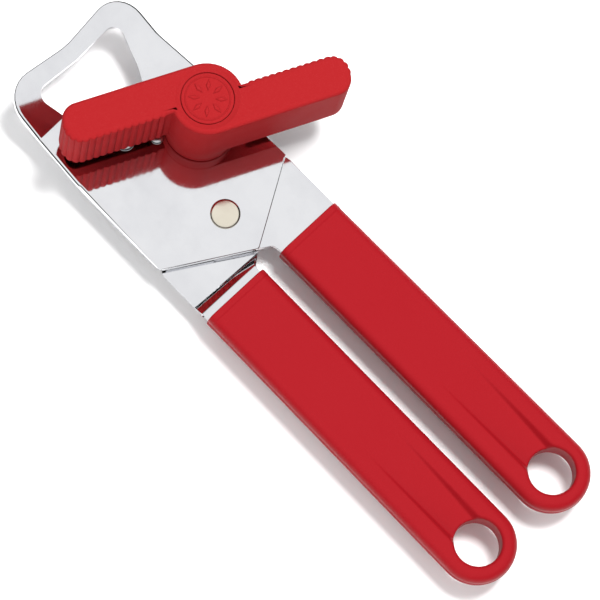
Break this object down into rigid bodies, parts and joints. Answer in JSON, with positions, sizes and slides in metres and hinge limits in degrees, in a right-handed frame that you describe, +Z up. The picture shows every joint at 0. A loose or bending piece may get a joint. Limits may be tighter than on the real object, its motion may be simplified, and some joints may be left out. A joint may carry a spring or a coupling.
{
  "type": "manual can opener",
  "caption": "Hand-held can opener: polished steel head with a cap-lifter loop and a geared cutter, a ribbed wing key on top, and long rounded plastic sleeves on the two levers.",
  "frame": {"origin": "axis of the front handle's hanging hole, level with the back face of the handle", "axes": "+X along the handles towards the head, +Y from the front handle towards the rear one, +Z up to the turning key"},
  "size_m": [0.2075, 0.0797, 0.0417],
  "materials": {
    "steel": "mirror-polished nickel-plated sheet steel",
    "steel_small": "plain zinc-plated steel",
    "shaft_steel": "turned steel",
    "wheel_steel": "ground and hardened steel",
    "nickel": "warm nickel plating, pressed flat",
    "handle_plastic": "satin red, fine moulded grain",
    "key_plastic": "matt red, fine moulded grain"
  },
  "bodies": {
    "front_lever": {"cover_plate": "steel", "front_lever_plate": "steel", "front_handle": "handle_plastic", "pivot_rivet": "nickel", "pivot_washer": "steel_small", "cutter_stud": "shaft_steel", "cutter_spacer": "shaft_steel", "cutter_washer": "steel_small", "guide_stud": "shaft_steel", "rim_guide": "shaft_steel"},
    "rear_lever": {"rear_lever_plate": "steel", "rear_handle": "handle_plastic", "drive_bush": "shaft_steel"},
    "crank": {"crank_key": "key_plastic", "key_cap": "key_plastic", "key_washer": "steel_small", "drive_shaft": "shaft_steel", "feed_washer": "steel_small", "feed_wheel": "wheel_steel", "lock_washer": "steel_small", "shaft_nut": "shaft_steel"},
    "cutter": {"cutter_wheel": "wheel_steel"}
  },
  "joints": [
    {"name": "lever_pivot", "type": "hinge", "parent": "front_lever", "child": "rear_lever", "pos_m": [0.1237, 0.0158, 0.0045], "axis": [0, 0, -1], "range_deg": [0, 12]},
    {"name": "crank_spin", "type": "hinge", "parent": "rear_lever", "child": "crank", "pos_m": [0.1485, 0.0024, 0.0045], "axis": [0, 0, -1], "continuous": true},
    {"name": "cutter_spin", "type": "hinge", "parent": "front_lever", "child": "cutter", "pos_m": [0.1551, 0.0141, -0.0035], "axis": [0, 0, 1], "continuous": true}
  ]
}
